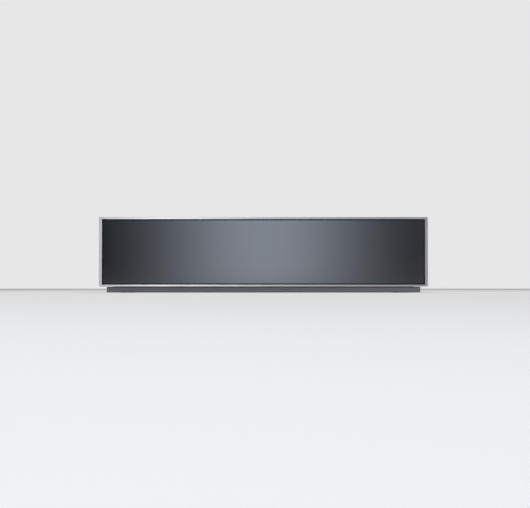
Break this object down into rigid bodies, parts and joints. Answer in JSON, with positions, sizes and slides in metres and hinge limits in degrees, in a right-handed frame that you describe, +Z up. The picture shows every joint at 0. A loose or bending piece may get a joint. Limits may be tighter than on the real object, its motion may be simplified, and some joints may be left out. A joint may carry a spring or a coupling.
{
  "type": "vacuum sealing drawer",
  "caption": "Built-in vacuum sealing drawer with a dark glass front in a slim steel frame, a lidded chamber and a sealing bar on full-extension runners.",
  "frame": {"origin": "middle of the footprint, on the surface that the housing stands on", "axes": "+Z up; the glass front faces -Y, and the drawer opens towards -Y; +X is to the right of someone who faces the front"},
  "size_m": [0.59, 0.547, 0.136],
  "materials": {
    "stainless_front": "fine brushed stainless",
    "front_glass": "dark back-printed glass, polished",
    "black_joint": "matt black silicone",
    "strip_steel": "brushed stainless strip",
    "zinc_sheet": "galvanised sheet",
    "runner_steel": "bright zinc plated",
    "cage_steel": "oiled spring steel and rollers",
    "deck_steel": "brushed stainless",
    "chamber_steel": "satin deep-drawn stainless",
    "insert_plastic": "white food-safe plastic",
    "lid_glass": "clear toughened glass",
    "seal_silicone": "grey silicone",
    "counter_silicone": "red-brown silicone",
    "hinge_steel": "polished stainless",
    "bar_aluminium": "anodised",
    "band_coating": "brown non-stick tape over the wire",
    "control_glass": "black glass",
    "board_green": "solder mask",
    "pump_cast": "sand-cast aluminium",
    "motor_paint": "black stove enamel",
    "mount_rubber": "black rubber",
    "valve_metal": "turned brass",
    "coil_plastic": "moulded coils",
    "hose_silicone": "milky silicone",
    "fan_plastic": "black glass-filled plastic",
    "core_iron": "varnished laminations",
    "latch_plastic": "grey acetal",
    "pad_plastic": "black pads",
    "gland_plastic": "black polyamide",
    "port_plastic": "black polyamide"
  },
  "bodies": {
    "housing": {"housing_base": "zinc_sheet", "housing_side_left": "zinc_sheet", "housing_side_right": "zinc_sheet", "housing_rear": "zinc_sheet", "rear_brace": "zinc_sheet", "front_rail": "zinc_sheet", "trim_strip": "strip_steel", "base_pads": "pad_plastic", "front_buffers": "black_joint", "push_latch": "latch_plastic", "runner_outer_left": "runner_steel", "runner_outer_right": "runner_steel"},
    "drawer": {"front_frame": "stainless_front", "front_glass": "front_glass", "glass_joint": "black_joint", "front_carrier": "zinc_sheet", "drawer_base": "zinc_sheet", "drawer_side_left": "zinc_sheet", "drawer_side_right": "zinc_sheet", "drawer_rear": "zinc_sheet", "deck_plate": "deck_steel", "chamber_tub": "chamber_steel", "chamber_insert": "insert_plastic", "lift_cylinders": "bar_aluminium", "hinge_brackets": "hinge_steel", "hinge_pins": "hinge_steel", "control_glass": "control_glass", "control_board": "board_green", "vacuum_pump": "pump_cast", "pump_motor": "motor_paint", "pump_mounts": "mount_rubber", "fan_frame": "fan_plastic", "valve_block": "valve_metal", "solenoid_coils": "coil_plastic", "pressure_sensor": "hinge_steel", "chamber_outlet": "valve_metal", "chamber_hose": "hose_silicone", "pump_hose": "hose_silicone", "port_hose": "hose_silicone", "vacuum_port": "port_plastic", "main_board": "board_green", "transformer": "core_iron", "cord_gland": "gland_plastic", "runner_inner_left": "runner_steel", "runner_inner_right": "runner_steel"},
    "ejector": {"ejector_plunger": "latch_plastic"},
    "runner_middles": {"runner_middle_left": "runner_steel", "runner_middle_right": "runner_steel"},
    "outer_cages": {"outer_cage_left": "cage_steel", "outer_cage_right": "cage_steel"},
    "inner_cages": {"inner_cage_left": "cage_steel", "inner_cage_right": "cage_steel"},
    "lid": {"lid_glass": "lid_glass", "lid_seal": "seal_silicone", "counter_bar": "counter_silicone", "hinge_arms": "hinge_steel"},
    "sealing_bar": {"sealing_bar": "bar_aluminium", "heating_band": "band_coating"},
    "fan": {"fan_rotor": "fan_plastic"},
    "port_cover": {"port_cover": "port_plastic"}
  },
  "joints": [
    {"name": "drawer_slide", "type": "slide", "parent": "housing", "child": "drawer", "axis": [0, -1, 0], "range_m": [0, 0.44]},
    {"name": "middle_slide", "type": "slide", "parent": "housing", "child": "runner_middles", "axis": [0, -1, 0], "range_m": [0, 0.22]},
    {"name": "outer_cage_slide", "type": "slide", "parent": "housing", "child": "outer_cages", "axis": [0, -1, 0], "range_m": [0, 0.11]},
    {"name": "inner_cage_slide", "type": "slide", "parent": "housing", "child": "inner_cages", "axis": [0, -1, 0], "range_m": [0, 0.33]},
    {"name": "lid_hinge", "type": "hinge", "parent": "drawer", "child": "lid", "pos_m": [-0.065, 0.1145, 0.1188], "axis": [-1, 0, 0], "range_deg": [0, 65]},
    {"name": "bar_lift", "type": "slide", "parent": "drawer", "child": "sealing_bar", "axis": [0, 0, 1], "range_m": [0, 0.005]},
    {"name": "fan_spin", "type": "hinge", "parent": "drawer", "child": "fan", "pos_m": [0.1928, 0.2313, 0.0602], "axis": [0, 1, 0], "continuous": true},
    {"name": "port_cover_hinge", "type": "hinge", "parent": "drawer", "child": "port_cover", "pos_m": [0.1166, 0.19724, 0.121], "axis": [-1, 0, 0], "range_deg": [0, 95]},
    {"name": "ejector_stroke", "type": "slide", "parent": "housing", "child": "ejector", "axis": [0, -1, 0], "range_m": [-0.003, 0], "stiffness_N_per_m": 800, "springref_m": 0.002}
  ],
  "couplings": [
    {"joint": "middle_slide", "follows": "drawer_slide", "ratio": 0.5},
    {"joint": "outer_cage_slide", "follows": "drawer_slide", "ratio": 0.25},
    {"joint": "inner_cage_slide", "follows": "drawer_slide", "ratio": 0.75}
  ]
}
